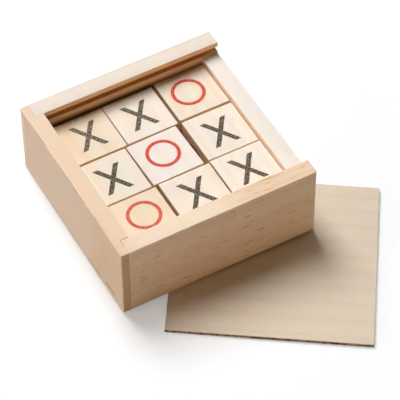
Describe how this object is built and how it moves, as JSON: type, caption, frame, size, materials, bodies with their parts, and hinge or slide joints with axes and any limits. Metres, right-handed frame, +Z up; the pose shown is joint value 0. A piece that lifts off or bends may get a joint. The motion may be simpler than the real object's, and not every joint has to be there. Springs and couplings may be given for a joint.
{
  "type": "tic-tac-toe box",
  "caption": "Square wooden box of marked cubes, set three by three, with a thin sliding lid that lies drawn off beside it.",
  "frame": {"origin": "centre of the whole set's footprint on the floor, box and lid together", "axes": "+Z up from the floor; +X across the box's front, towards the low wall where the lid leaves; +Y from the front wall to the back wall. The box itself leans about 1.6 degrees on the lid's edge."},
  "size_m": [0.1422, 0.1702, 0.0449],
  "materials": {
    "pine": "sanded, bare",
    "cube_wood": "sanded, bare",
    "plywood": "sanded face, scorched edges",
    "black_ink": "worn flat print",
    "red_ink": "flat print"
  },
  "bodies": {
    "box": {"left_wall": "pine", "front_wall": "pine", "back_wall": "pine", "low_wall": "pine", "base_panel": "plywood"},
    "lid": {"lid": "plywood"},
    "cube_front_left": {"cube_front_left": "cube_wood", "crosses_front_left": "black_ink", "noughts_front_left": "red_ink"},
    "cube_front_middle": {"cube_front_middle": "cube_wood", "crosses_front_middle": "black_ink", "noughts_front_middle": "red_ink"},
    "cube_front_right": {"cube_front_right": "cube_wood", "crosses_front_right": "black_ink", "noughts_front_right": "red_ink"},
    "cube_middle_left": {"cube_middle_left": "cube_wood", "crosses_middle_left": "black_ink", "noughts_middle_left": "red_ink"},
    "cube_centre": {"cube_centre": "cube_wood", "crosses_centre": "black_ink", "noughts_centre": "red_ink"},
    "cube_middle_right": {"cube_middle_right": "cube_wood", "crosses_middle_right": "black_ink", "noughts_middle_right": "red_ink"},
    "cube_back_left": {"cube_back_left": "cube_wood", "crosses_back_left": "black_ink", "noughts_back_left": "red_ink"},
    "cube_back_middle": {"cube_back_middle": "cube_wood", "crosses_back_middle": "black_ink", "noughts_back_middle": "red_ink"},
    "cube_back_right": {"cube_back_right": "cube_wood", "crosses_back_right": "black_ink", "noughts_back_right": "red_ink"}
  },
  "joints": [
    {"name": "lid_draw", "type": "slide", "parent": "box", "child": "lid", "axis": [0.8363, -0.5483, 0], "range_m": [0, 0.07]},
    {"name": "lift_front_left", "type": "slide", "parent": "box", "child": "cube_front_left", "axis": [-0.0231, 0.0151, 0.9996], "range_m": [0, 0.045]},
    {"name": "lift_front_middle", "type": "slide", "parent": "box", "child": "cube_front_middle", "axis": [-0.0231, 0.0151, 0.9996], "range_m": [0, 0.045]},
    {"name": "lift_front_right", "type": "slide", "parent": "box", "child": "cube_front_right", "axis": [-0.0231, 0.0151, 0.9996], "range_m": [0, 0.045]},
    {"name": "lift_middle_left", "type": "slide", "parent": "box", "child": "cube_middle_left", "axis": [-0.0231, 0.0151, 0.9996], "range_m": [0, 0.045]},
    {"name": "lift_centre", "type": "slide", "parent": "box", "child": "cube_centre", "axis": [-0.0231, 0.0151, 0.9996], "range_m": [0, 0.045]},
    {"name": "lift_middle_right", "type": "slide", "parent": "box", "child": "cube_middle_right", "axis": [-0.0231, 0.0151, 0.9996], "range_m": [0, 0.045]},
    {"name": "lift_back_left", "type": "slide", "parent": "box", "child": "cube_back_left", "axis": [-0.0231, 0.0151, 0.9996], "range_m": [0, 0.045]},
    {"name": "lift_back_middle", "type": "slide", "parent": "box", "child": "cube_back_middle", "axis": [-0.0231, 0.0151, 0.9996], "range_m": [0, 0.045]},
    {"name": "lift_back_right", "type": "slide", "parent": "box", "child": "cube_back_right", "axis": [-0.0231, 0.0151, 0.9996], "range_m": [0, 0.045]}
  ]
}
